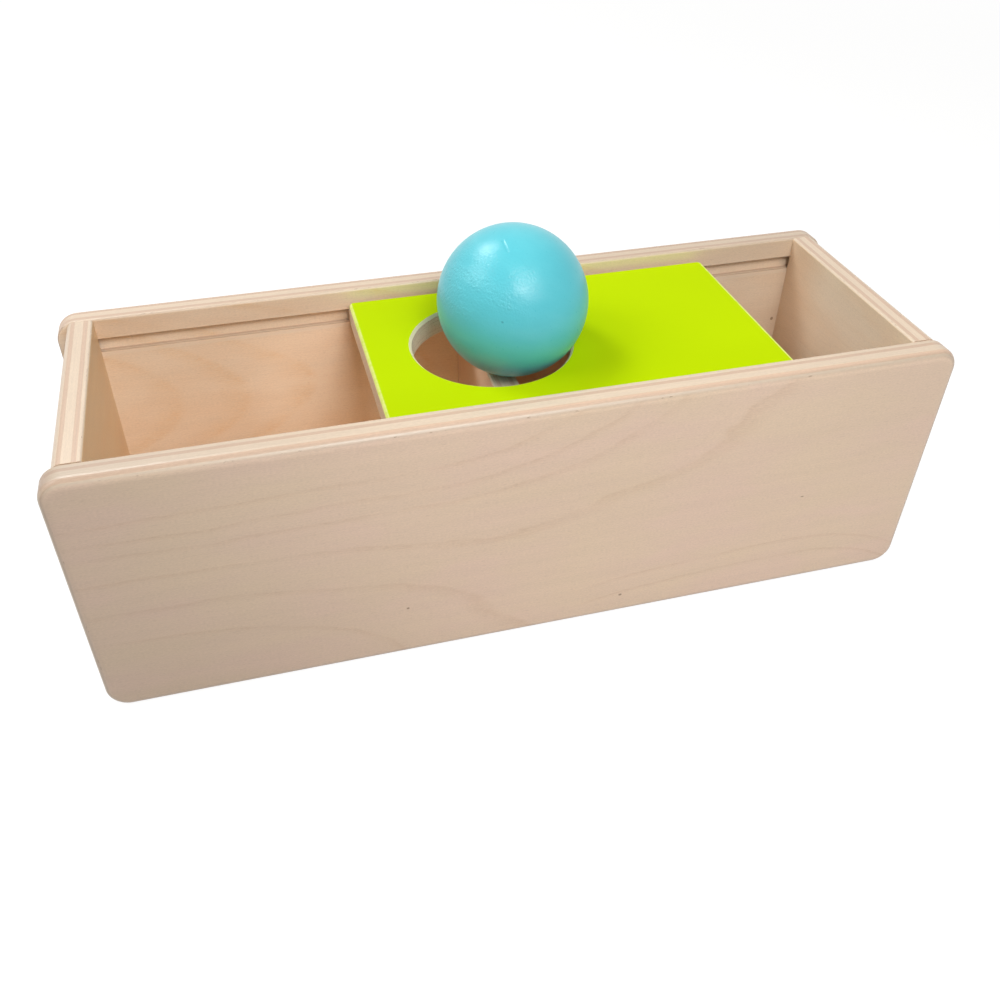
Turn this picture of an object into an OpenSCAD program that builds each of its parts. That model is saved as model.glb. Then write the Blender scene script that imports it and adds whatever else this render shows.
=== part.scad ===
// Object permanence box: a long plywood box with a fixed divider and a floor,
// a short sliding lid with a round hole, and a turned wooden ball that rests in the hole.
// Millimetres. X runs along the box, +Y to its rear, +Z up. The origin is the bottom centre.

/* [Box] */
// Length of the front and rear panels
box_l = 290; // [230:1:360]
// Width over the front and rear panels
box_w = 100; // [94:1:140]
// Height of the box
box_h = 94; // [80:1:130]
// Thickness of the plywood walls
ply_t = 9; // [8:0.5:12]
// Corner radius of the front and rear panels
corner_r = 7.5; // [5:0.5:14]
// Rounding of the outer edges
outer_edge_r = 3.2; // [1.5:0.1:4]
// Rounding of the inner edges
inner_edge_r = 0.8; // [0.3:0.1:1.5]
// How far the end panels stand in from the ends of the long panels
end_inset = 4; // [2:0.5:10]

/* [Floor] */
// Thickness of the floor panel
floor_t = 6; // [4:0.5:9]
// Height of the floor's underside above the table
floor_h = 6; // [4:0.5:12]
// Depth of the grooves that house the floor
floor_groove_d = 3; // [2:0.5:4]

/* [Divider] */
// Thickness of the divider between the two compartments
divider_t = 9; // [6:0.5:12]
// How far the divider's top lies below the lid
divider_gap = 2; // [0.5:0.1:4]
// Bevel along the divider's top
divider_bevel = 0.5; // [0.2:0.1:1]

/* [Sliding lid] */
// Length of the lid along the box
lid_l = 136.9; // [110:0.1:150]
// Thickness of the lid
lid_t = 8.6; // [7:0.1:10]
// How far the lid's top lies below the top of the box
lid_drop = 4; // [2:0.1:8]
// Thickness of the tongues along the lid's long edges
tongue_t = 5; // [3:0.1:6]
// Depth of the grooves that the tongues slide in
slide_groove_d = 2.5; // [1.5:0.1:4]
// Gap between the long panels and the lid's edges above its tongues
lid_margin = 2; // [0.5:0.1:4]
// Rounding of the lid's corners above its tongues
lid_corner_r = 3; // [1:0.5:6]
// Bevel along the lid's edges
lid_bevel = 0.5; // [0.2:0.1:1]

/* [Hole] */
// Diameter of the hole in the lid
hole_d = 54; // [50:0.5:60]
// Bevel round the hole's rim
hole_bevel = 0.9; // [0.3:0.1:1.5]
// Distance from the lid's left end to the hole's centre
hole_place = 42.6; // [36:0.1:60]
// How far the hole's centre stands to the left of the divider's middle
hole_shift = 2.5; // [1:0.1:6]

/* [Ball] */
// Diameter of the ball
ball_d = 50; // [46:0.5:52]

/* [Dowels] */
// Diameter of the dowels
dowel_d = 5; // [4:0.5:6]
// Length of the dowels
dowel_l = 20; // [16:1:30]
// How deep the dowels sit in the long panels
dowel_seat = 6; // [4:0.5:7]
// Bevel at the dowels' ends
dowel_bevel = 0.6; // [0.2:0.1:1]
// Height of the lower dowels above the floor
dowel_rise = 14; // [8:1:20]
// Depth of the upper dowels below the divider's top
dowel_drop = 15; // [8:1:24]

/* [Fits] */
// Clearance over and under the lid's tongues
slide_gap = 0.15; // [0.1:0.05:0.4]
// Clearance beside the lid's tongues
side_gap = 0.5; // [0.2:0.05:0.8]
// Clearance at the edges of the floor
floor_gap = 0.2; // [0.1:0.05:0.5]
// Glue line round the floor and the dowels
glue_gap = 0.05; // [0.02:0.01:0.1]
// Spare depth in the dowel holes
dowel_gap = 0.5; // [0.2:0.1:1]
// Gap between the resting ball and what it leans on
ball_gap = 0.25; // [0.1:0.05:0.5]

/* [Hidden] */
$fn = 96;

// Overrun of every cut past the face that it starts from
over = 1;

// The sides on which a plate's four corners lie, in turn
corner_sides = [[1, 1], [-1, 1], [-1, -1], [1, -1]];

// Inner width and half length between the walls
inner_w = box_w - 2 * ply_t;
end_x = box_l / 2 - end_inset;
inner_x = end_x - ply_t;

// Lid and groove heights, from the top of the box down
lid_top = box_h - lid_drop;
lid_z = lid_top - lid_t;
slide_floor = lid_z - slide_gap;
slide_h = tongue_t + 2 * slide_gap;
hole_x = -hole_shift;
lid_x = hole_x - hole_place;
lid_w = inner_w - 2 * lid_margin;
tongue_w = inner_w + 2 * (slide_groove_d - side_gap);

// Floor and divider heights
floor_top = floor_h + floor_t;
floor_groove_h = floor_t + 2 * glue_gap;
divider_top = lid_z - divider_gap;

// The ball rests on the divider and leans on the right side of the hole's rim
ball_r = ball_d / 2;
ball_z = divider_top + ball_gap + ball_r;
rim_drop = ball_z - (lid_top - hole_bevel);
ball_x = hole_x + hole_d / 2 - sqrt(pow(ball_r + ball_gap, 2) - pow(rim_drop, 2));

// Dowel places
dowel_heights = [floor_top + dowel_rise, divider_top - dowel_drop];
end_dowel_x = inner_x + ply_t / 2;

// Colours
wood = [0.83, 0.72, 0.60];
wood_inside = [0.80, 0.66, 0.52];
lime = [0.78, 0.92, 0.0];
turquoise = [0.37, 0.78, 0.82];
dowel_wood = [0.87, 0.78, 0.64];

// Half of a wall's section. It runs outwards along X to its eased edge,
// and its thickness runs along Y, from the outer face to the inner one.
module eased_edge(reach) {
    square([reach - outer_edge_r, ply_t]);
    translate([0, outer_edge_r])
        square([reach - inner_edge_r, ply_t - outer_edge_r]);
    translate([0, outer_edge_r])
        square([reach, ply_t - outer_edge_r - inner_edge_r]);
    translate([reach - outer_edge_r, outer_edge_r])
        circle(r = outer_edge_r);
    translate([reach - inner_edge_r, ply_t - inner_edge_r])
        circle(r = inner_edge_r);
}

// A wall's whole section, with the height of the box along X
module wall_section() {
    translate([box_h / 2, 0]) {
        eased_edge(box_h / 2);
        mirror([1, 0])
            eased_edge(box_h / 2);
    }
}

// A straight groove with round ends, cut down from the face at height ply_t
module stopped_groove(half_run, low, h, depth) {
    translate([0, low + h / 2, ply_t - depth]) {
        translate([-half_run, -h / 2, 0])
            cube([2 * half_run, h, depth + over]);
        for (side = [-1, 1])
            translate([side * half_run, 0, 0])
                cylinder(d = h, h = depth + over);
    }
}

// A dowel's hole along Z, from height z up
module dowel_hole(depth) {
    cylinder(d = dowel_d + 2 * glue_gap, h = depth + over);
}

// A front or rear panel lying on its outer face, its height along Y
module long_panel_blank() {
    straight_l = box_l - 2 * corner_r;
    straight_h = box_h - 2 * corner_r;
    translate([-straight_l / 2, 0, 0])
        rotate([90, 0, 90])
            linear_extrude(straight_l)
                wall_section();
    translate([straight_l / 2, box_h - corner_r, 0])
        rotate([90, 0, 0])
            linear_extrude(straight_h)
                eased_edge(corner_r);
    translate([-straight_l / 2, corner_r, 0])
        rotate([90, 0, 180])
            linear_extrude(straight_h)
                eased_edge(corner_r);
    for (turn = [0:3])
        translate([
            corner_sides[turn][0] * straight_l / 2,
            box_h / 2 + corner_sides[turn][1] * straight_h / 2,
            0
        ])
            rotate([0, 0, 90 * turn])
                rotate_extrude(angle = 90)
                    eased_edge(corner_r);
}

// A front or rear panel with its lid groove, floor groove and dowel holes
module long_panel() {
    difference() {
        long_panel_blank();
        stopped_groove(inner_x, slide_floor, slide_h, slide_groove_d);
        stopped_groove(inner_x + floor_groove_d, floor_h - glue_gap, floor_groove_h, floor_groove_d);
        for (x = [-end_dowel_x, 0, end_dowel_x])
            for (z = dowel_heights)
                translate([x, z, ply_t - dowel_seat - dowel_gap])
                    dowel_hole(dowel_seat + dowel_gap);
    }
}

// An end panel in the left place, with its floor groove and its dowel holes
module end_panel() {
    difference() {
        translate([-end_x, -inner_w / 2, 0])
            rotate([-90, 0, 0])
                rotate([0, 0, -90])
                    linear_extrude(inner_w)
                        wall_section();
        translate([-inner_x - floor_groove_d, -inner_w / 2 - over, floor_h - glue_gap])
            cube([floor_groove_d + over, inner_w + 2 * over, floor_groove_h]);
        cross_dowel_holes(-end_dowel_x);
    }
}

// The dowel holes in both ends of a piece that spans the box at x
module cross_dowel_holes(x) {
    depth = dowel_l - dowel_seat + dowel_gap;
    for (side = [0, 180])
        rotate([0, 0, side])
            for (z = dowel_heights)
                translate([side == 0 ? x : -x, -inner_w / 2 + depth, z])
                    rotate([90, 0, 0])
                        dowel_hole(depth);
}

// One bevelled dowel along Z, with its lower end on the plane
module dowel() {
    dowel_r = dowel_d / 2;
    rotate_extrude()
        polygon([
            [0, 0],
            [dowel_r - dowel_bevel, 0],
            [dowel_r, dowel_bevel],
            [dowel_r, dowel_l - dowel_bevel],
            [dowel_r - dowel_bevel, dowel_l],
            [0, dowel_l]
        ]);
}

// The two dowels that join a cross piece at x to the front panel or the rear one
module dowel_pair(x, at_front) {
    seat_y = inner_w / 2 + dowel_seat;
    color(dowel_wood)
        for (z = dowel_heights)
            translate([x, at_front ? -seat_y : seat_y, z])
                rotate([at_front ? -90 : 90, 0, 0])
                    dowel();
}

module front_panel() {
    color(wood)
        translate([0, -box_w / 2, 0])
            rotate([90, 0, 180])
                long_panel();
}

module rear_panel() {
    color(wood)
        translate([0, box_w / 2, 0])
            rotate([90, 0, 0])
                long_panel();
}

module left_end_panel() {
    color(wood)
        end_panel();
}

module right_end_panel() {
    color(wood)
        rotate([0, 0, 180])
            end_panel();
}

module floor_panel() {
    half_l = inner_x + floor_groove_d - floor_gap;
    half_w = inner_w / 2 + floor_groove_d - floor_gap;
    color(wood_inside)
        translate([-half_l, -half_w, floor_h])
            cube([2 * half_l, 2 * half_w, floor_t]);
}

module centre_divider() {
    half_t = divider_t / 2;
    color(wood_inside)
        difference() {
            translate([0, inner_w / 2, 0])
                rotate([90, 0, 0])
                    linear_extrude(inner_w)
                        polygon([
                            [-half_t, floor_top],
                            [half_t, floor_top],
                            [half_t, divider_top - divider_bevel],
                            [half_t - divider_bevel, divider_top],
                            [-half_t + divider_bevel, divider_top],
                            [-half_t, divider_top - divider_bevel]
                        ]);
            cross_dowel_holes(0);
        }
}

// The lid's section across the box, its tongues along the lower edges
module lid_across() {
    polygon([
        [-tongue_w / 2, 0],
        [tongue_w / 2, 0],
        [tongue_w / 2, tongue_t],
        [lid_w / 2, tongue_t],
        [lid_w / 2, lid_t - lid_bevel],
        [lid_w / 2 - lid_bevel, lid_t],
        [-lid_w / 2 + lid_bevel, lid_t],
        [-lid_w / 2, lid_t - lid_bevel],
        [-lid_w / 2, tongue_t],
        [-tongue_w / 2, tongue_t]
    ]);
}

// The lid's section along the box, with bevelled ends
module lid_along() {
    polygon([
        [lid_bevel, 0],
        [lid_l - lid_bevel, 0],
        [lid_l, lid_bevel],
        [lid_l, lid_t - lid_bevel],
        [lid_l - lid_bevel, lid_t],
        [lid_bevel, lid_t],
        [0, lid_t - lid_bevel],
        [0, lid_bevel]
    ]);
}

// What rounds off the lid's far right corner above its tongues
module lid_corner_cut() {
    translate([-lid_corner_r, -lid_corner_r, tongue_t])
        difference() {
            cube([lid_corner_r + over, lid_corner_r + over, lid_t - tongue_t + over]);
            translate([0, 0, -over])
                cylinder(r = lid_corner_r, h = lid_t + 2 * over);
        }
}

// The hole through the lid, bevelled at both faces
module lid_hole() {
    translate([0, 0, -over])
        cylinder(d = hole_d, h = lid_t + 2 * over);
    rim_d = hole_d + 2 * hole_bevel;
    flare_d = rim_d + 2 * over;
    translate([0, 0, lid_t - hole_bevel])
        cylinder(d1 = hole_d, d2 = flare_d, h = hole_bevel + over);
    translate([0, 0, -over])
        cylinder(d1 = flare_d, d2 = hole_d, h = hole_bevel + over);
}

module sliding_lid() {
    color(lime)
        translate([lid_x, 0, lid_z])
            difference() {
                intersection() {
                    rotate([90, 0, 90])
                        linear_extrude(lid_l)
                            lid_across();
                    translate([0, tongue_w / 2 + over, 0])
                        rotate([90, 0, 0])
                            linear_extrude(tongue_w + 2 * over)
                                lid_along();
                }
                translate([hole_place, 0, 0])
                    lid_hole();
                for (turn = [0:3])
                    translate([
                        (1 + corner_sides[turn][0]) * lid_l / 2,
                        corner_sides[turn][1] * lid_w / 2,
                        0
                    ])
                        rotate([0, 0, 90 * turn])
                            lid_corner_cut();
            }
}

module ball() {
    color(turquoise)
        translate([ball_x, 0, ball_z])
            sphere(d = ball_d);
}

module left_front_dowels() {
    dowel_pair(-end_dowel_x, true);
}

module left_rear_dowels() {
    dowel_pair(-end_dowel_x, false);
}

module right_front_dowels() {
    dowel_pair(end_dowel_x, true);
}

module right_rear_dowels() {
    dowel_pair(end_dowel_x, false);
}

module divider_front_dowels() {
    dowel_pair(0, true);
}

module divider_rear_dowels() {
    dowel_pair(0, false);
}

front_panel();
rear_panel();
left_end_panel();
right_end_panel();
floor_panel();
centre_divider();
sliding_lid();
ball();
left_front_dowels();
left_rear_dowels();
right_front_dowels();
right_rear_dowels();
divider_front_dowels();
divider_rear_dowels();
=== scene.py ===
"""An object permanence box: a plywood box, a short sliding lid with a round hole, and a turned ball.

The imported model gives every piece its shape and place. This script gives the pieces their finish,
plywood that shows its plies on every edge, lime paint, turquoise paint and bare dowels, and it
sets up the floor, the lamps and the camera.
"""

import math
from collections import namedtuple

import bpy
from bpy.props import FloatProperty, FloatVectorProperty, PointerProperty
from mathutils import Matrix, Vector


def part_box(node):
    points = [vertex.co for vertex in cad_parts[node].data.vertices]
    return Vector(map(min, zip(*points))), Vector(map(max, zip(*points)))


bl_info = {
    "name": "Object Permanence Box",
    "version": (1, 0, 0),
    "blender": (4, 5, 0),
    "location": "3D View > Sidebar > Toy Box",
    "description": "Finishes a plywood toy box, its sliding lid and its ball, and lights them",
    "category": "Material",
}

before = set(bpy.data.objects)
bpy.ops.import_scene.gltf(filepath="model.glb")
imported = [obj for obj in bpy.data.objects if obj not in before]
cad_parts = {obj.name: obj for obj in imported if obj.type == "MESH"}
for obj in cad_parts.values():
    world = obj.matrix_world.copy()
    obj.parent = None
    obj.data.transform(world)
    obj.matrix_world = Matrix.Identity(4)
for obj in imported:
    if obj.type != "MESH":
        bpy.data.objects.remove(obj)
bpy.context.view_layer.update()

MM = 0.001
AXES = "XYZ"

# The long panels' grooves start a little under the lid's tongues, which are its lowest part.
GROOVE_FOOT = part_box("sliding_lid")[0][2] - 0.15 * MM
GROOVE_TOP = GROOVE_FOOT + 5.3 * MM


def from_hex(code):
    """The linear colour of an sRGB code such as D8B090."""
    shares = [int(code[i:i + 2], 16) / 255 for i in (0, 2, 4)]
    return tuple(s / 12.92 if s <= 0.04045 else ((s + 0.055) / 1.055) ** 2.4 for s in shares)


def colour(name, description, code):
    """A colour property whose default is an sRGB code."""
    return FloatVectorProperty(
        name=name, description=description, default=from_hex(code), subtype="COLOR", min=0, max=1
    )


def share(name, description, default, most=1.0):
    """A plain share or level, from nothing up to the most that makes sense."""
    return FloatProperty(name=name, description=description, default=default, min=0, max=most)


def length(name, description, default):
    """A length in metres."""
    return FloatProperty(
        name=name, description=description, default=default, min=0, subtype="DISTANCE", unit="LENGTH",
        precision=5,
    )


class PlywoodSettings(bpy.types.PropertyGroup):
    """The birch plywood of the walls, the floor, the divider and the lid."""

    face: colour("Face", "Outer face veneer", "E7CCB3")
    face_pink: colour("Pink blotches", "Pink blotches of the face veneer", "E8CBB5")
    face_gold: colour("Gold blotches", "Gold blotches of the face veneer", "E7CDB2")
    inside: colour("Inner face", "Inner face veneer", "F2DCC2")
    # The end panels' inner faces are shaded and lit copies of the inner veneer: painted shade on the
    # left, painted light on the right.
    inside_left_painted_shade: colour("Left inner face", "Inner face veneer of the left end panel", "ECD1A9")
    inside_right_painted_light: colour("Right inner face", "Inner face veneer of the right end panel", "F9E5CA")
    inside_low: colour("Low inner faces", "Face veneer of the floor and the divider", "FFCF92")
    blotch: colour("Blotches", "Warm blotches that darken the inner faces", "F6DFC8")
    # This tint is painted shade on the end panels' inner faces near the rear panel, and it darkens the
    # long panels' inner faces a little above the groove.
    tint: colour("Stain", "Warm stain that darkens the rear ends of the end panels", "F3E9E1")
    ring: colour("Growth line", "Growth lines in the outer face veneer", "CDA888")
    inner_ring: colour("Inner growth line", "Growth lines in the inner face veneer", "EAC69B")
    pore: colour("Pores", "Pores, specks and torn fibres", "8E6A4E")
    side_grain: colour("Side grain", "Plies that are cut along their grain", "DBC6AE")
    end_grain: colour("End grain", "Plies that are cut across their grain", "CDB098")
    # This colour is also the painted highlight on the arris below the lid's groove.
    seam: colour("Veneer's edge", "Pale edge where the veneer is rounded away", "F0DDC8")
    glue: colour("Glue line", "Line of glue between two plies", "C3A080")
    cross_ply: length("Cross ply", "Thickness of the two plies that run across", 1.35 * MM)
    roughness: share("Roughness", "Roughness of the clear varnish", 0.36)
    grain_depth: length("Grain depth", "Height of the grain that the varnish leaves", 0.02 * MM)


class LidSettings(bpy.types.PropertyGroup):
    """The sliding lid's paint."""

    paint: colour("Paint", "Lime paint on the lid's top", "BBD800")
    worn: colour("Worn arris", "Where the paint is thin over the wood", "F3E9B4")
    bare: colour("Bare wood", "Bare wood on the lid's edges", "DCC7AC")
    # Painted light: the hole's bare wood is paler than the edges' to lighten the ball's shadow in it.
    hole_painted_light: colour("Bare hole", "Bare wood in the lid's hole", "F8E6CE")
    rim: colour("Rim", "Bare bevel round the hole", "F6E9C2")
    hole_place: length("Hole", "Distance from the lid's left end to the hole's centre", 42.6 * MM)
    hole_radius: length("Hole radius", "Radius of the hole's bevel at the lid's top", 27.9 * MM)
    coat: length("Paint's reach", "How far the paint reaches down the lid's edges", 0.55 * MM)
    roughness: share("Roughness", "Roughness of the paint", 0.55)
    gloss: share("Gloss", "Specular level of the paint", 0.03)
    grain_depth: length("Grain depth", "Height of the grain that shows through the paint", 0.012 * MM)


class BallSettings(bpy.types.PropertyGroup):
    """The turned ball's paint."""

    paint: colour("Paint", "Turquoise paint", "5AC4D1")
    thin: colour("Thin paint", "Paint where it is thinner", "6CCFDA")
    speck: colour("Speck", "Dark speck in the paint", "2B7C8B")
    roughness: share("Roughness", "Roughness of the paint", 0.295)
    gloss: share("Gloss", "Specular level of the paint", 0.36)
    peel_depth: length("Orange peel", "Height of the paint's orange peel", 0.13 * MM)


class DowelSettings(bpy.types.PropertyGroup):
    """The bare beech dowels in the butt joints."""

    wood: colour("Beech", "Bare beech", "DDC09A")
    fleck: colour("Flecks", "Rays and pores of the beech", "A9835B")
    roughness: share("Roughness", "Roughness of the bare wood", 0.62)


class StudioSettings(bpy.types.PropertyGroup):
    """The floor, the lamps and the camera."""

    floor: colour("Floor", "Pale floor", "BCBBB9")
    key: share("Key lamp", "Light level of the soft lamp over the rear left", 0.38, 4)
    fill: share("Fill lamp", "Light level of the soft lamp over the front", 0.376, 4)
    near: share("Near lamp", "Light level of the soft lamp close to the front", 0.416, 4)
    side: share("Side lamp", "Light level of the wide lamp on the left", 0.34, 4)
    sky: share("Sky", "Light level of the plain surroundings", 0.16, 4)
    place: FloatVectorProperty(
        name="Camera", description="Place of the camera", subtype="TRANSLATION", unit="LENGTH",
        default=(-80.981 * MM, -282.949 * MM, 262.063 * MM), precision=5,
    )
    forward: FloatVectorProperty(
        name="Forward", description="Direction in which the camera looks", subtype="DIRECTION",
        default=(0.203076, 0.746024, -0.634199),
    )
    right: FloatVectorProperty(
        name="Right", description="Direction of the picture's right side", subtype="DIRECTION",
        default=(0.966276, -0.257423, 0.006597),
    )
    shift: FloatVectorProperty(
        name="Shift", description="Shift of the picture, as a share of its width", size=2,
        default=(0.014219, -0.00105), precision=5,
    )
    lens: FloatProperty(
        name="Lens", description="Focal length on a 36 mm sensor", default=35.746, min=1,
        subtype="DISTANCE_CAMERA",
    )


class Value:
    """A number socket. Python's own operators on it add Math nodes."""

    def __init__(self, finish, socket):
        self.finish = finish
        self.socket = socket

    def __add__(self, other):
        return self.finish.math("ADD", self, other)

    def __radd__(self, other):
        return self.finish.math("ADD", other, self)

    def __sub__(self, other):
        return self.finish.math("SUBTRACT", self, other)

    def __rsub__(self, other):
        return self.finish.math("SUBTRACT", other, self)

    def __mul__(self, other):
        return self.finish.math("MULTIPLY", self, other)

    def __rmul__(self, other):
        return self.finish.math("MULTIPLY", other, self)

    def __truediv__(self, other):
        return self.finish.math("DIVIDE", self, other)

    def __pow__(self, other):
        return self.finish.math("POWER", self, other)

    def __abs__(self):
        return self.finish.math("ABSOLUTE", self)

    def out(self, name):
        """Another output of the node that this socket is on."""
        return Value(self.finish, self.socket.node.outputs[name])


class Finish:
    """The nodes of one material, or of the surroundings, built from expressions."""

    def __init__(self, owner):
        owner.use_nodes = True
        self.owner = owner
        self.tree = owner.node_tree
        self.tree.nodes.clear()

    def node(self, kind, settings=None, inputs=None, output=0):
        """Adds a node: its settings first, then the values or links of its sockets."""
        made = self.tree.nodes.new(kind)
        for key, setting in (settings or {}).items():
            if key == "stops":
                self.set_stops(made.color_ramp, setting)
            else:
                setattr(made, key, setting)
        for key, value in (inputs or {}).items():
            if isinstance(value, Value):
                self.tree.links.new(value.socket, made.inputs[key])
            else:
                made.inputs[key].default_value = value
        return Value(self, made.outputs[output]) if made.outputs else made

    @staticmethod
    def set_stops(ramp, stops):
        """A ramp's stops, as pairs of a place and a grey level."""
        while len(ramp.elements) < len(stops):
            ramp.elements.new(0.5)
        for element, (place, level) in zip(ramp.elements, stops):
            element.position = place
            element.color = (level, level, level, 1)

    def math(self, operation, *values):
        return self.node("ShaderNodeMath", {"operation": operation}, dict(enumerate(values)))

    def vector(self, operation, *values, output=0):
        settings = {"operation": operation}
        return self.node("ShaderNodeVectorMath", settings, dict(enumerate(values)), output)

    def split(self, vector):
        """The three numbers of a vector."""
        parts = self.node("ShaderNodeSeparateXYZ", inputs={0: vector})
        return [parts.out(axis) for axis in AXES]

    def join(self, x, y, z):
        return self.node("ShaderNodeCombineXYZ", inputs={0: x, 1: y, 2: z})

    def ease(self, value, low, high, start=0.0, end=1.0):
        """A smooth step from start to end as the value goes from low to high."""
        settings = {"interpolation_type": "SMOOTHSTEP"}
        return self.node("ShaderNodeMapRange", settings, {0: value, 1: low, 2: high, 3: start, 4: end})

    def band(self, value, middle, reach, soft):
        """One where the value lies within reach of the middle, fading over the soft margin."""
        return self.ease(abs(value - middle), reach, reach + soft, 1.0, 0.0)

    def mix(self, mask, first, second, blend="MIX"):
        """Two colours mixed by a mask. A plain colour is three numbers."""
        settings = {"data_type": "RGBA", "blend_type": blend}
        return self.node("ShaderNodeMix", settings, {0: mask, 6: rgba(first), 7: rgba(second)}, 2)

    def toned(self, colours, tone):
        """Colours made lighter or darker by a number."""
        return self.mix(1.0, colours, self.join(tone, tone, tone), "MULTIPLY")

    def pick(self, mask, first, second):
        """Two numbers mixed by a mask."""
        return first + (second - first) * mask

    def most(self, first, second):
        return self.math("MAXIMUM", first, second)

    def noise(self, vector, sizes, detail=2.0, seed=0.0):
        """Noise from 0 to 1 whose cells have these sizes along the vector's three directions."""
        scaled = self.vector("MULTIPLY", vector, [1 / size for size in sizes])
        moved = self.vector("ADD", scaled, (seed, 2 * seed, -seed))
        return self.node("ShaderNodeTexNoise", inputs={"Vector": moved, "Scale": 1.0, "Detail": detail})

    def bump(self, height, depth):
        """A normal for a height from 0 to 1 that is this deep in metres."""
        return self.node("ShaderNodeBump", inputs={"Height": height, "Distance": depth, "Strength": 1.0})

    def shader(self, **sockets):
        """The Principled shader and the material's output."""
        names = {key.replace("_", " ").title(): value for key, value in sockets.items()}
        if "Specular Level" in names:
            names["Specular IOR Level"] = names.pop("Specular Level")
        surface = self.node("ShaderNodeBsdfPrincipled", inputs=names)
        self.node("ShaderNodeOutputMaterial", inputs={"Surface": surface})
        return self.owner


def rgba(value):
    """A colour socket's value from three numbers. A link stays as it is."""
    return value if isinstance(value, Value) else (*value, 1.0)


Board = namedtuple("Board", "node depth_axis outer_side along_axis outer_ply inner_ply seed")
Spot = namedtuple("Spot", "along across depth half_length half_width")

# The outer side is the one that depth is counted from, and -1 means the low side of the axis.
# Each board is five plies: the outer one, a cross ply, the core, a cross ply and the inner one.
BOARDS = {
    "front_panel": Board("front_panel", 1, -1, 0, 1.1 * MM, 2.1 * MM, 0.0),
    "rear_panel": Board("rear_panel", 1, 1, 0, 2.5 * MM, 1.25 * MM, 17.0),
    "left_end_panel": Board("left_end_panel", 0, -1, 1, 1.9 * MM, 1.5 * MM, 31.0),
    "right_end_panel": Board("right_end_panel", 0, 1, 1, 2.7 * MM, 1.0 * MM, 47.0),
    "floor_panel": Board("floor_panel", 2, -1, 0, 1.1 * MM, 1.1 * MM, 59.0),
    "centre_divider": Board("centre_divider", 0, -1, 1, 1.4 * MM, 1.7 * MM, 71.0),
    "sliding_lid": Board("sliding_lid", 2, 1, 0, 1.4 * MM, 1.4 * MM, 83.0),
}


class Timber:
    """Where a point of a board lies in its plywood, and what the plywood looks like there."""

    def __init__(self, finish, board, wood):
        low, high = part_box(board.node)
        axis = board.depth_axis
        across_axis = 3 - axis - board.along_axis
        outer = high[axis] if board.outer_side > 0 else low[axis]
        where = finish.node("ShaderNodeTexCoord", output="Object")
        coordinates = finish.split(where)
        facing = finish.split(where.out("Normal"))
        self.finish = finish
        self.wood = wood
        self.outer_ply = board.outer_ply
        self.inner_ply = board.inner_ply
        self.seed = board.seed
        self.place = where
        self.thickness = high[axis] - low[axis]
        self.along = coordinates[board.along_axis]
        self.across = coordinates[across_axis]
        self.depth = (outer - coordinates[axis]) * board.outer_side
        self.point = finish.join(self.along, self.across, self.depth)
        self.flat = abs(facing[axis])
        self.end_along = abs(facing[board.along_axis])
        self.end_across = abs(facing[across_axis])
        self.find_plies()

    def find_plies(self):
        """How deep the point lies from the nearer face, and masks of the cross plies and the glue."""
        finish = self.finish
        waves = finish.noise(self.point, (16 * MM, 16 * MM, 3 * MM), 3.0, self.seed)
        level = self.depth + (waves - 0.5) * 0.4 * MM
        self.rim = finish.math("MINIMUM", level, self.thickness - level)
        outer, outer_glue = self.cross_ply(level, self.outer_ply)
        inner, inner_glue = self.cross_ply(self.thickness - level, self.inner_ply)
        self.cross = finish.most(outer, inner)
        self.glue = finish.most(outer_glue, inner_glue)

    def cross_ply(self, depth, start):
        """Masks of the cross ply that starts this deep, and of the glue on its two sides."""
        finish = self.finish
        end = start + self.wood.cross_ply
        blur = 0.12 * MM
        glue_half = 0.05 * MM
        ply = finish.ease(depth, start - blur, start + blur)
        ply = ply * finish.ease(depth, end - blur, end + blur, 1.0, 0.0)
        glue = finish.band(depth, start, glue_half, blur)
        return ply, finish.most(glue, finish.band(depth, end, glue_half, blur))

    def below_outer_face(self):
        """Nothing on the outer face, and one from a little below it to the inner face."""
        return self.finish.ease(self.depth, 2 * MM, 2.4 * MM)

    def near_inner_face(self):
        """One close to the inner face, and nothing in the rest of the board."""
        return self.finish.ease(self.depth, 7 * MM, 8 * MM)

    def fibres(self):
        """Fine fibres, which run along a ply's own grain and show as dots where it is cut across."""
        finish = self.finish
        long_way = finish.noise(self.point, (7 * MM, 0.42 * MM, 0.42 * MM), 3.0, self.seed + 3)
        cross_way = finish.noise(self.point, (0.42 * MM, 7 * MM, 0.42 * MM), 3.0, self.seed + 5)
        return finish.pick(self.cross, long_way, cross_way)

    def end_grain(self):
        """How squarely the surface cuts the fibres."""
        return self.finish.pick(self.cross, self.end_along, self.end_across)


def growth_lines(finish, timber, field, lines, dark_side, fade):
    """Growth lines where the field, in metres, passes each of the lines."""
    low = min(lines) - 12 * MM
    span = max(lines) + 12 * MM - low
    stops = [(0.0, 0.0)]
    for line in sorted(lines):
        stops.append(((line - dark_side - low) / span, 0.0))
        stops.append(((line - low) / span, 1.0))
        stops.append(((line + fade - low) / span, 0.0))
    ramp = finish.node("ShaderNodeValToRGB", {"stops": stops}, {0: (field - low) / span})
    breaks = finish.noise(timber.point, (26 * MM, 7 * MM, 50 * MM), 2.0, timber.seed + 9)
    dashed = finish.noise(timber.point, (3 * MM, 0.4 * MM, 3 * MM), 2.0, timber.seed + 15)
    return ramp * finish.ease(breaks, 0.3, 0.6, 0.25, 1.0) * finish.ease(dashed, 0.3, 0.7, 0.35, 1.65)


def warp(finish, timber, far, near):
    """A slow and a quick waver of the growth lines, in metres."""
    slow = finish.noise(timber.point, (55 * MM, 30 * MM, 90 * MM), 1.0, timber.seed + 11)
    quick = finish.noise(timber.point, (12 * MM, 5 * MM, 90 * MM), 3.0, timber.seed + 13)
    return (slow - 0.5) * far + (quick - 0.5) * near


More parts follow.
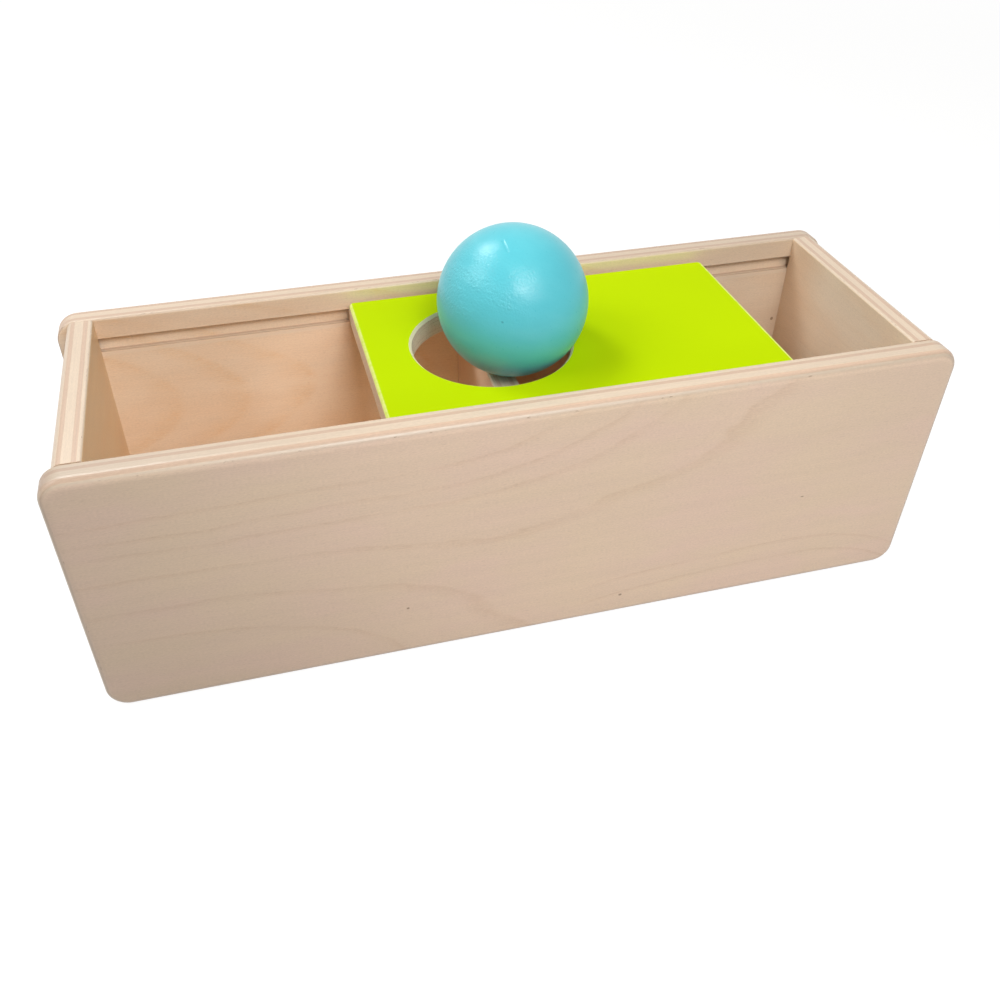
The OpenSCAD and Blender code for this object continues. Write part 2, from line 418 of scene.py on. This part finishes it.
def front_field(finish, timber):
    """The front face's rings: flames that open to the right, above and below the panel's middle."""
    middle = 49 * MM
    x = timber.along
    height = timber.across - middle
    upper = 1 + finish.math("EXPONENT", (x - 30 * MM) / (27 * MM))
    lower = 1 + finish.math("EXPONENT", (x + 60 * MM) / (30 * MM))
    field = finish.most(height, 0.0) / upper + finish.math("MINIMUM", height, 0.0) / lower
    beside = (x + 15 * MM) / (50 * MM)
    above = height / (8 * MM)
    dip = finish.math("EXPONENT", 0 - beside * beside - above * above)
    return field + dip * 6 * MM


def plain_field(finish, timber, middle, opening, reach):
    """Rings of a plain board: flat flames about a middle height, which open along the board."""
    height = timber.across - middle
    bend = (timber.along - opening) / reach
    return abs(height) - bend * bend * 30 * MM


def spots(finish, timber, places):
    """Small dark specks at chosen places on the face."""
    mask = 0.0
    for spot in places:
        along = (timber.along - spot.along) / spot.half_length
        across = (timber.across - spot.across) / spot.half_width
        far = along * along + across * across
        near_face = finish.band(timber.depth, spot.depth, 1 * MM, 0.3 * MM)
        mask = finish.ease(far, 0.3, 1.3, 1.0, 0.0) * near_face + mask
    return mask


def veneer_colours(finish, timber, rings, places, inside):
    """The two face veneers: soft blotches, growth lines, fine dashes and specks."""
    wood = timber.wood
    seed = timber.seed
    clouds = finish.noise(timber.point, (42 * MM, 17 * MM, 30 * MM), 2.0, seed + 21)
    streaks = finish.noise(timber.point, (70 * MM, 4 * MM, 30 * MM), 3.0, seed + 25)
    dashes = finish.noise(timber.point, (3.2 * MM, 0.16 * MM, 0.3 * MM), 1.0, seed + 27)
    flecks = finish.noise(timber.point, (0.9 * MM, 0.36 * MM, 0.36 * MM), 1.0, seed + 29)
    pores = finish.ease(dashes, 0.64, 0.78)

    outer = finish.mix(finish.ease(clouds, 0.34, 0.52), wood.face_pink, wood.face)
    outer = finish.mix(finish.ease(clouds, 0.5, 0.66), outer, wood.face_gold)
    inner = finish.mix(finish.ease(clouds, 0.42, 0.64) * 0.2, inside, wood.blotch, "MULTIPLY")
    turned = timber.below_outer_face()
    face = finish.mix(turned, outer, inner)
    face = finish.mix(rings, face, finish.mix(turned, wood.ring, wood.inner_ring))
    face = finish.mix(pores * 0.26, face, wood.pore)
    if places:
        face = finish.mix(spots(finish, timber, places) * 0.75, face, wood.pore)
    return finish.toned(face, 0.975 + (streaks - 0.5) * 0.08 + (flecks - 0.5) * 0.21), pores


def edge_colours(finish, timber):
    """The plies where they are cut: pale along their grain and a little darker across it."""
    wood = timber.wood
    cut = finish.ease(timber.end_grain(), 0.15, 0.85)
    core = finish.mix(cut, wood.side_grain, wood.end_grain)
    core = finish.mix(timber.glue * 0.22, core, wood.glue)
    long_streaks = finish.noise(timber.point, (22 * MM, 22 * MM, 0.35 * MM), 3.0, timber.seed + 33)
    torn = finish.noise(timber.point, (1.4 * MM, 1.4 * MM, 0.22 * MM), 2.0, timber.seed + 35)
    return finish.toned(core, 0.99 + (long_streaks - 0.5) * 0.2 + (torn - 0.5) * 0.26), cut


def rounded_seam(finish, timber, colours):
    """The rounded edge: a thin pale line, and dark chips beside it."""
    wood = timber.wood
    broken = finish.noise(timber.point, (7 * MM, 7 * MM, 40 * MM), 3.0, timber.seed + 41)
    chips = finish.noise(timber.point, (1.6 * MM, 1.6 * MM, 0.3 * MM), 2.0, timber.seed + 43)
    line = finish.band(timber.rim, 0.68 * MM, 0.03 * MM, 0.1 * MM) * finish.ease(broken, 0.35, 0.55)
    chipped = finish.band(timber.rim, 0.48 * MM, 0.08 * MM, 0.1 * MM) * finish.ease(chips, 0.56, 0.66)
    rounded = finish.ease(timber.flat, 0.9, 0.985, 1.0, 0.0)
    colours = finish.mix(line * rounded * 0.15, colours, wood.seam)
    return finish.mix(chipped * rounded * finish.ease(broken, 0.5, 0.62) * 0.6, colours, wood.pore)


def plywood(board, lines, places=(), tone=None, details=None, inside=None):
    """Varnished birch plywood. lines gives the growth lines, tone the board's slow changes.

    The tone and the details also carry painted shade and painted light on some boards.
    """
    wood = bpy.context.scene.toy_plywood
    finish = Finish(bpy.data.materials.new(board.node))
    timber = Timber(finish, board, wood)
    fibres = timber.fibres()
    face, pores = veneer_colours(finish, timber, lines(finish, timber), places, inside or wood.inside)
    core, cut = edge_colours(finish, timber)
    colours = finish.mix(finish.ease(timber.flat, 0.75, 0.95), core, face)
    colours = rounded_seam(finish, timber, colours)
    if details:
        colours = details(finish, timber, colours)
    shade = 0.95 + fibres * 0.1
    # The board's tone can hold painted shade and painted light.
    if tone:
        shade = shade * tone(finish, timber)
    colours = finish.toned(colours, shade)
    height = fibres * 0.6 - pores * 0.5
    roughness = wood.roughness + (fibres - 0.5) * 0.12 + cut * 0.04
    return finish.shader(
        base_color=colours, roughness=roughness, normal=finish.bump(height, wood.grain_depth)
    )


def front_lines(finish, timber):
    """The front panel's growth lines, as they lie on its outer face."""
    field = front_field(finish, timber) + warp(finish, timber, 5 * MM, 1.6 * MM)
    marks = (28 * MM, 21 * MM, 15.5 * MM, 5.5 * MM, -6 * MM, -17.5 * MM)
    flames = growth_lines(finish, timber, field, marks, 1.6 * MM, 0.35 * MM)
    fine = finish.math("FRACT", field / (2.4 * MM)) ** 6
    run = timber.along - 105 * MM
    fall = finish.most(run, 0.0)
    top = 21.5 * MM - (run + 13 * MM) * (run + 13 * MM) * 1.1 - fall * fall * 6
    foot = timber.across - top + warp(finish, timber, 3 * MM, 1.2 * MM)
    arch = growth_lines(finish, timber, foot, (0.0, -7 * MM), 1.4 * MM, 0.5 * MM)
    arch = arch * finish.ease(timber.along, 0.0, 35 * MM)
    return (finish.most(flames, arch) + fine * 0.12) * 0.25


def plain_lines(middle, opening, reach, strength=0.14):
    """Growth lines of a board that the camera sees less of."""

    def lines(finish, timber):
        field = plain_field(finish, timber, middle, opening, reach)
        field = field + warp(finish, timber, 9 * MM, 2 * MM)
        marks = [step * 8 * MM + 2 * MM for step in range(-3, 7)]
        flames = growth_lines(finish, timber, field, marks, 2.2 * MM, 0.5 * MM)
        fine = finish.math("FRACT", field / (2.4 * MM)) ** 6
        return (flames * 0.8 + fine * 0.12) * strength

    return lines


def tongue_lines(finish, timber):
    """The rear panel's growth lines: tongues that point to the right, fainter on its outer face."""
    middle = timber.across - 57 * MM
    field = timber.along + middle * middle * 50 + warp(finish, timber, 10 * MM, 2 * MM)
    marks = [step * MM for step in (-110, -85, -62, -15, 30, 75, 105)]
    tongues = growth_lines(finish, timber, field, marks, 10 * MM, 3.5 * MM)
    return tongues * finish.pick(timber.below_outer_face(), 0.2, 0.4)


def front_tone_and_painted_light(finish, timber):
    """The front panel darkens to its left and lightens to its lower right, partly as the wood's own tone
    and partly as painted shade and painted light.

    Its rounded top is painted duller, as painted shade, but for the outer cross ply.
    """
    left = finish.ease(timber.along, -160 * MM, -25 * MM, 0.79, 1.02)
    low = finish.ease(timber.across, 66 * MM, 8 * MM)
    high = finish.ease(timber.across, 40 * MM, 88 * MM) * finish.ease(timber.along, 60 * MM, 130 * MM)
    face = 1 + low * finish.ease(timber.along, -90 * MM, 20 * MM, -0.06, 0.06) - high * 0.06
    # Painted shade: the top and its rounding are darker, the rounding most from the panel's middle
    # rightwards.
    painted_rounding_shade = finish.ease(timber.flat, 0.35, 0.72) * finish.ease(timber.flat, 0.87, 0.99, 1.0, 0.0)
    painted_rounding_shade = painted_rounding_shade * finish.ease(timber.along, -125 * MM, -50 * MM, -0.06, 0.17)
    top = finish.ease(timber.flat, 0.3, 0.1)
    outer_cross = timber.cross * finish.ease(timber.depth, 4 * MM, 3 * MM)
    return left * face * (1 - top * 0.035 - painted_rounding_shade + outer_cross * 0.07)


def rear_tone_and_painted_light(finish, timber):
    """The rear panel darkens towards its right end.

    Inside, below the groove, it is paler as painted light, most of all near the lid's left end.
    """
    shade = finish.ease(timber.along, -20 * MM, 70 * MM, 1.0, 0.91)
    shade = shade * finish.ease(timber.along, 70 * MM, 125 * MM, 1.0, 0.95)
    # Painted light below the groove, strongest where the lid's shadow falls near its left end.
    below = finish.ease(timber.across, GROOVE_FOOT + 2.75 * MM, GROOVE_FOOT - 3.25 * MM)
    below = below * timber.near_inner_face()
    pale = finish.band(timber.along, -60 * MM, 8 * MM, 24 * MM)
    return shade * (1 + below * (0.03 + pale * 0.12))


def slide_groove(finish, timber, colours):
    """The lid's groove: painted shade as a dark line at its foot, a painted highlight on the arris below
    it, and a slight warm darkening above it.
    """
    wood = timber.wood
    inner = finish.ease(timber.depth, 7.9 * MM, 8.1 * MM)
    # Painted highlight on the arris below the groove.
    pale = finish.band(timber.across, GROOVE_FOOT - 0.9 * MM, 0.45 * MM, 0.5 * MM) * inner
    waver = finish.noise(timber.point, (5 * MM, 1 * MM, 1 * MM), 2.0, timber.seed + 51)
    # Painted shade: a dark line at the groove's foot, in the glue's colour.
    line = finish.band(timber.depth, 8.55 * MM, 0.12 * MM, 0.2 * MM)
    line = line * finish.band(timber.across, GROOVE_FOOT, 0.1 * MM, 0.1 * MM)
    above = finish.ease(timber.across, GROOVE_TOP + 0.05 * MM, GROOVE_TOP + 1.45 * MM) * inner
    colours = finish.mix(above * 0.25, colours, wood.tint, "MULTIPLY")
    colours = finish.mix(pale * 0.5, colours, wood.seam)
    return finish.mix(line * finish.ease(waver, 0.25, 0.6, 0.45, 0.8), colours, wood.glue)


def painted_rear_shade(amount):
    """Warm painted shade on an end panel's inner face, towards the rear panel."""

    def tint(finish, timber, colours):
        inner = timber.near_inner_face() * finish.ease(timber.flat, 0.8, 0.95)
        # Painted shade: darker towards the rear panel, where its shadow falls.
        near = finish.ease(timber.along, 10 * MM, 33 * MM)
        return finish.mix(inner * near * amount, colours, timber.wood.tint, "MULTIPLY")

    return tint


def joint_shadow(reach):
    """A dark hairline where a cross piece meets the long panels."""

    def shadow(finish, timber, colours):
        line = finish.ease(abs(timber.along), reach - 0.5 * MM, reach - 0.15 * MM)
        return finish.mix(line * 0.7, colours, timber.wood.pore)

    return shadow


def give(node, material):
    """A node's whole finish is one material."""
    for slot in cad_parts[node].material_slots:
        slot.material = material


class ToyOperator(bpy.types.Operator):
    """Base of the operators, which all run once and can be undone"""

    bl_options = {"REGISTER", "UNDO"}


class TOYBOX_OT_long_panels(ToyOperator):
    """Finish the front and rear panels in varnished plywood"""

    bl_idname = "toybox.long_panels"
    bl_label = "Front and rear panels"

    def execute(self, context):
        specks = (
            Spot(32.75 * MM, 9.25 * MM, 0.0, 0.7 * MM, 0.5 * MM),
            Spot(-44.25 * MM, 22 * MM, 0.0, 0.55 * MM, 0.45 * MM),
            Spot(98 * MM, 41.5 * MM, 0.0, 0.7 * MM, 0.25 * MM),
        )
        knots = (Spot(129.8 * MM, 58.8 * MM, 9 * MM, 0.7 * MM, 0.8 * MM),)
        front, rear = BOARDS["front_panel"], BOARDS["rear_panel"]
        give("front_panel", plywood(front, front_lines, specks, front_tone_and_painted_light, slide_groove))
        give("rear_panel", plywood(rear, tongue_lines, knots, rear_tone_and_painted_light, slide_groove))
        return {"FINISHED"}


class TOYBOX_OT_end_panels(ToyOperator):
    """Finish the two end panels in varnished plywood"""

    bl_idname = "toybox.end_panels"
    bl_label = "End panels"

    def execute(self, context):
        wood = context.scene.toy_plywood
        # Each end panel's inner colour holds painted shade on the left or painted light on the right, and
        # its tint is painted shade towards the rear panel.
        panels = (
            ("left_end_panel", 30 * MM, 0.4, wood.inside_left_painted_shade),
            ("right_end_panel", 62 * MM, 1.0, wood.inside_right_painted_light),
        )
        for node, middle, rear_shade_amount, inside in panels:
            lines = plain_lines(middle, 0.0, 90 * MM)
            give(node, plywood(BOARDS[node], lines, details=painted_rear_shade(rear_shade_amount), inside=inside))
        return {"FINISHED"}


class TOYBOX_OT_inner_panels(ToyOperator):
    """Finish the floor and the divider in varnished plywood"""

    bl_idname = "toybox.inner_panels"
    bl_label = "Floor and divider"

    def execute(self, context):
        inside = context.scene.toy_plywood.inside_low
        lines = plain_lines(0.0, 60 * MM, 90 * MM)
        give("floor_panel", plywood(BOARDS["floor_panel"], lines, inside=inside))
        lines = plain_lines(40 * MM, 0.0, 90 * MM)
        ends = joint_shadow(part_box("centre_divider")[1][1])
        give("centre_divider", plywood(BOARDS["centre_divider"], lines, details=ends, inside=inside))
        return {"FINISHED"}


class TOYBOX_OT_lid(ToyOperator):
    """Finish the sliding lid: lime paint on its top, bare plies on its edges and in its hole"""

    bl_idname = "toybox.lid"
    bl_label = "Sliding lid"

    def execute(self, context):
        give("sliding_lid", painted_lid())
        return {"FINISHED"}


class TOYBOX_OT_ball(ToyOperator):
    """Finish the turned ball in turquoise paint"""

    bl_idname = "toybox.ball"
    bl_label = "Ball"

    def execute(self, context):
        give("ball", painted_ball())
        return {"FINISHED"}


class TOYBOX_OT_dowels(ToyOperator):
    """Finish the dowels in bare beech"""

    bl_idname = "toybox.dowels"
    bl_label = "Dowels"

    def execute(self, context):
        material = bare_beech()
        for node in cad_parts:
            if node.endswith("_dowels"):
                give(node, material)
        return {"FINISHED"}


def painted_lid():
    """Lime paint over the lid's top and its arrises, and bare plywood in the hole and on the edges."""
    wood = bpy.context.scene.toy_plywood
    paint = bpy.context.scene.toy_lid
    finish = Finish(bpy.data.materials.new("lime_painted_plywood"))
    timber = Timber(finish, BOARDS["sliding_lid"], wood)
    fibres = timber.fibres()
    low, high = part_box("sliding_lid")
    beside = timber.along - (low[0] + paint.hole_place)
    from_hole = finish.math("SQRT", beside * beside + timber.across * timber.across)
    waver = finish.noise(timber.point, (2 * MM, 2 * MM, 2 * MM), 2.0, 5.0)
    ragged = (waver - 0.5) * 0.2 * MM
    hole_blur = 0.05 * MM
    coat_blur = 0.04 * MM
    hole_edge = (paint.hole_radius - hole_blur, paint.hole_radius + hole_blur)
    coat_edge = (paint.coat - coat_blur, paint.coat + coat_blur)
    painted = finish.ease(timber.depth + ragged, *coat_edge, 1.0, 0.0)
    painted = painted * finish.ease(from_hole + ragged, *hole_edge)

    speckle = finish.noise(timber.place, (0.5 * MM, 0.5 * MM, 0.5 * MM), 3.0, 7.0)
    cut = finish.ease(timber.end_grain(), 0.15, 0.85)
    # The hole's wall takes the paler wood, as painted light.
    hole_painted_light = finish.ease(from_hole, paint.hole_radius, paint.hole_radius + 1 * MM, 1.0, 0.0)
    bare = finish.mix(hole_painted_light, finish.mix(cut * 0.3, paint.bare, wood.end_grain), paint.hole_painted_light)
    bare = finish.mix(timber.glue * 0.3, bare, wood.glue)
    bare = finish.mix(finish.ease(speckle, 0.5, 0.72) * 0.3, bare, wood.pore)
    bare = finish.toned(bare, 0.93 + fibres * 0.14)
    rim = finish.ease(timber.depth, 0.75 * MM, 1.0 * MM, 1.0, 0.0)
    bare = finish.mix(rim, bare, paint.rim)

    clouds = finish.noise(timber.point, (30 * MM, 12 * MM, 12 * MM), 2.0, 9.0)
    # Painted light and shade: the paint is lighter to the right and darker near the front edge.
    lid_painted_light = finish.ease(timber.along, -30 * MM, 60 * MM, 0.98, 1.025)
    lid_painted_light = lid_painted_light * finish.ease(timber.across, -12 * MM, -36 * MM, 1.0, 0.94)
    lime = finish.toned(paint.paint, lid_painted_light * (0.985 + clouds * 0.02 + fibres * 0.01))
    middle = (low[0] + high[0]) / 2
    half = (high[0] - low[0]) / 2
    ends = finish.ease(abs(timber.along - middle) + ragged, half - 1.2 * MM, half - 0.8 * MM)
    arris = finish.most(finish.ease(timber.depth, 0.06 * MM, 0.2 * MM), ends)
    arris = arris * finish.ease(waver, 0.25, 0.6, 0.25, 0.5)
    lime = finish.mix(arris, lime, paint.worn)
    height = finish.pick(painted, speckle, fibres * 0.6 + speckle * 0.3)
    return finish.shader(
        base_color=finish.mix(painted, bare, lime), roughness=finish.pick(painted, 0.65, paint.roughness),
        specular_level=paint.gloss, normal=finish.bump(height, paint.grain_depth),
    )


def near_line(finish, point, start, end):
    """How far a point lies from the stroke between two places, in metres."""
    stroke = end - start
    beside = finish.vector("SUBTRACT", point, tuple(start))
    along = finish.vector("DOT_PRODUCT", beside, tuple(stroke / stroke.length_squared), output="Value")
    along = finish.math("MINIMUM", finish.most(along, 0.0), 1.0)
    foot = finish.vector("MULTIPLY", finish.join(along, along, along), tuple(stroke))
    return finish.vector("LENGTH", finish.vector("SUBTRACT", beside, foot), output="Value")


def painted_ball():
    """Turquoise paint over turned wood, with a speck and a scratch.

    The orange peel is strongest on the left shoulder, and the lathe's marks are faint.
    """
    paint = bpy.context.scene.toy_ball
    low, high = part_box("ball")
    finish = Finish(bpy.data.materials.new("turquoise_painted_wood"))
    where = finish.node("ShaderNodeTexCoord", output="Object")
    point = finish.vector("SUBTRACT", where, tuple((low + high) / 2))
    turned = finish.node("ShaderNodeVectorRotate", {"rotation_type": "EULER_XYZ"}, {
        "Vector": point, "Rotation": (math.radians(14), math.radians(-22), 0.0),
    })
    x, y, z = finish.split(turned)
    swing = finish.math("SQRT", x * x + y * y)
    rings = finish.noise(finish.join(swing, 0.0, z), (2.2 * MM, 1.0, 0.35 * MM), 4.0, 3.0)
    streaks = finish.noise(turned, (3.5 * MM, 3.5 * MM, 0.3 * MM), 3.0, 5.0)
    peel = finish.noise(point, (0.7 * MM, 0.7 * MM, 0.7 * MM), 2.0, 9.0)
    drag = finish.noise(turned, (2.6 * MM, 1.1 * MM, 0.6 * MM), 2.0, 13.0)
    clouds = finish.noise(turned, (16 * MM, 16 * MM, 7 * MM), 2.0, 11.0)
    sideways, _, upwards = finish.split(point)
    shoulder = finish.ease(sideways, 9 * MM, -4 * MM) * finish.band(upwards, 12.5 * MM, 5 * MM, 8 * MM)
    rough_patch = 0.07 + finish.ease(clouds, 0.38, 0.58, 0.3, 0.88) * shoulder
    scratch_start = Vector((-5.16, -5.24, 23.89)) * MM
    scratch_end = Vector((-4.92, -9.62, 22.55)) * MM
    scratch = near_line(finish, point, scratch_start, scratch_end)
    groove = finish.ease(scratch, 0.1 * MM, 0.75 * MM, 0.0, 1.0)
    speck_start = Vector((-9.93, -22.29, 5.44)) * MM
    speck_end = Vector((-9.7, -22.4, 5.3)) * MM
    speck = near_line(finish, point, speck_start, speck_end)
    height = (rings + streaks) * 0.04 + peel * rough_patch * 1.7 + drag * 0.2 + groove * 0.9

    colours = finish.mix(finish.ease(clouds, 0.35, 0.75) * 0.35, paint.paint, paint.thin)
    colours = finish.mix(finish.ease(speck, 0.1 * MM, 0.42 * MM, 0.6, 0.0), colours, paint.speck)
    colours = finish.toned(colours, 0.965 + streaks * 0.05 + peel * 0.03)
    roughness = paint.roughness + (peel - 0.5) * 0.1
    return finish.shader(
        base_color=colours, roughness=roughness, specular_level=paint.gloss,
        normal=finish.bump(height, paint.peel_depth),
    )


def bare_beech():
    """Bare beech with its short ray flecks, along the dowels' length."""
    wood = bpy.context.scene.toy_dowels
    finish = Finish(bpy.data.materials.new("dowel_wood"))
    where = finish.node("ShaderNodeTexCoord", output="Object")
    flecks = finish.noise(where, (0.25 * MM, 2.2 * MM, 0.25 * MM), 2.0, 3.0)
    grain = finish.noise(where, (0.5 * MM, 14 * MM, 0.5 * MM), 3.0, 5.0)
    colours = finish.mix(finish.ease(flecks, 0.58, 0.72) * 0.5, wood.wood, wood.fleck)
    colours = finish.toned(colours, 0.92 + grain * 0.14)
    return finish.shader(
        base_color=colours, roughness=wood.roughness, normal=finish.bump(grain, 0.03 * MM)
    )


def seen_rays(finish):
    """One for the rays that see a thing itself or its reflection, and nothing for the rest."""
    rays = finish.node("ShaderNodeLightPath", output="Is Camera Ray")
    return finish.most(finish.most(rays, rays.out("Is Glossy Ray")), rays.out("Is Transmission Ray"))


def add_floor(studio):
    """A wide pale floor that the box stands on.

    It also glows for the rays that see it, and so looks white. That hides nearly all of the shadow.
    """
    half = 6.0
    corners = [(-half, -half, 0), (half, -half, 0), (half, half, 0), (-half, half, 0)]
    mesh = bpy.data.meshes.new("floor")
    mesh.from_pydata(corners, [], [(0, 1, 2, 3)])
    floor = bpy.data.objects.new("floor", mesh)
    bpy.context.scene.collection.objects.link(floor)
    finish = Finish(bpy.data.materials.new("studio_floor"))
    seen = seen_rays(finish)
    where = finish.node("ShaderNodeTexCoord", output="Object")
    glow = finish.ease(finish.vector("LENGTH", where, output="Value"), 0.5, 2.0, 0.85, 1.0) * seen
    material = finish.shader(
        base_color=finish.toned(studio.floor, finish.pick(seen, 1.0, 0.5)), roughness=0.9,
        specular_level=0.0, emission_color=finish.join(glow, glow, glow), emission_strength=1.0,
    )
    mesh.materials.append(material)


def add_world(studio):
    """A plain pale surround that lights evenly and is seen as white."""
    world = bpy.data.worlds.new("studio")
    finish = Finish(world)
    level = finish.pick(seen_rays(finish), studio.sky, 1.0)
    background = finish.node("ShaderNodeBackground", inputs={"Color": (1, 1, 1, 1), "Strength": level})
    finish.node("ShaderNodeOutputWorld", inputs={"Surface": background})
    bpy.context.scene.world = world


def add_lamp(name, towards, far, size, level):
    """A soft square lamp in this direction from the box, at this light level where the box is."""
    data = bpy.data.lights.new(name, "AREA")
    data.shape = "SQUARE"
    data.size = size
    data.energy = level * (math.pi * far) ** 2
    lamp = bpy.data.objects.new(name, data)
    aim = Vector((0, 0, 90 * MM))
    direction = Vector(towards).normalized()
    lamp.location = aim + direction * far
    lamp.rotation_euler = direction.to_track_quat("Z", "Y").to_euler()
    bpy.context.scene.collection.objects.link(lamp)


def add_camera(studio):
    """The camera that saw the photographed box, with the small shift of its picture."""
    data = bpy.data.cameras.new("camera")
    data.sensor_fit = "HORIZONTAL"
    data.sensor_width = 36
    data.lens = studio.lens
    data.shift_x, data.shift_y = studio.shift
    data.clip_start = 0.01
    data.clip_end = 50
    camera = bpy.data.objects.new("camera", data)
    back = -Vector(studio.forward).normalized()
    right = Vector(studio.right)
    right = (right - right.dot(back) * back).normalized()
    turn = Matrix((right, back.cross(right), back)).transposed()
    camera.matrix_world = Matrix.Translation(studio.place) @ turn.to_4x4()
    bpy.context.scene.collection.objects.link(camera)
    bpy.context.scene.camera = camera


class TOYBOX_OT_studio(ToyOperator):
    """Set up the floor, the lamps, the surroundings and the camera"""

    bl_idname = "toybox.studio"
    bl_label = "Studio"

    def execute(self, context):
        studio = context.scene.toy_studio
        add_floor(studio)
        add_world(studio)
        add_lamp("key_lamp", (-0.327, 0.528, 0.784), 1.0, 0.3, studio.key)
        add_lamp("fill_lamp", (0.063, -0.654, 0.754), 1.0, 0.3, studio.fill)
        add_lamp("near_lamp", (0.2, -0.7, 0.7), 0.5, 0.3, studio.near)
        add_lamp("side_lamp", (-1.0, 0.22, 0.95), 1.4, 0.7, studio.side)
        add_camera(studio)
        context.scene.view_settings.view_transform = "Standard"
        return {"FINISHED"}


OPERATORS = (
    TOYBOX_OT_long_panels,
    TOYBOX_OT_end_panels,
    TOYBOX_OT_inner_panels,
    TOYBOX_OT_lid,
    TOYBOX_OT_ball,
    TOYBOX_OT_dowels,
    TOYBOX_OT_studio,
)

SETTINGS = {
    "toy_plywood": PlywoodSettings,
    "toy_lid": LidSettings,
    "toy_ball": BallSettings,
    "toy_dowels": DowelSettings,
    "toy_studio": StudioSettings,
}


class TOYBOX_PT_panel(bpy.types.Panel):
    """Lists the box's settings and operators"""

    bl_label = "Object Permanence Box"
    bl_space_type = "VIEW_3D"
    bl_region_type = "UI"
    bl_category = "Toy Box"

    def draw(self, context):
        for group in SETTINGS:
            column = self.layout.box().column()
            settings = getattr(context.scene, group)
            for name in settings.__annotations__:
                column.prop(settings, name)
        for operator in OPERATORS:
            self.layout.operator(operator.bl_idname)


CLASSES = (*SETTINGS.values(), *OPERATORS, TOYBOX_PT_panel)


def register():
    for cls in CLASSES:
        bpy.utils.register_class(cls)
    for name, group in SETTINGS.items():
        setattr(bpy.types.Scene, name, PointerProperty(type=group))


def unregister():
    for name in SETTINGS:
        delattr(bpy.types.Scene, name)
    for cls in reversed(CLASSES):
        bpy.utils.unregister_class(cls)


def main():
    register()
    for operator in OPERATORS:
        family, name = operator.bl_idname.split(".")
        getattr(getattr(bpy.ops, family), name)()


if __name__ == "__main__":
    main()
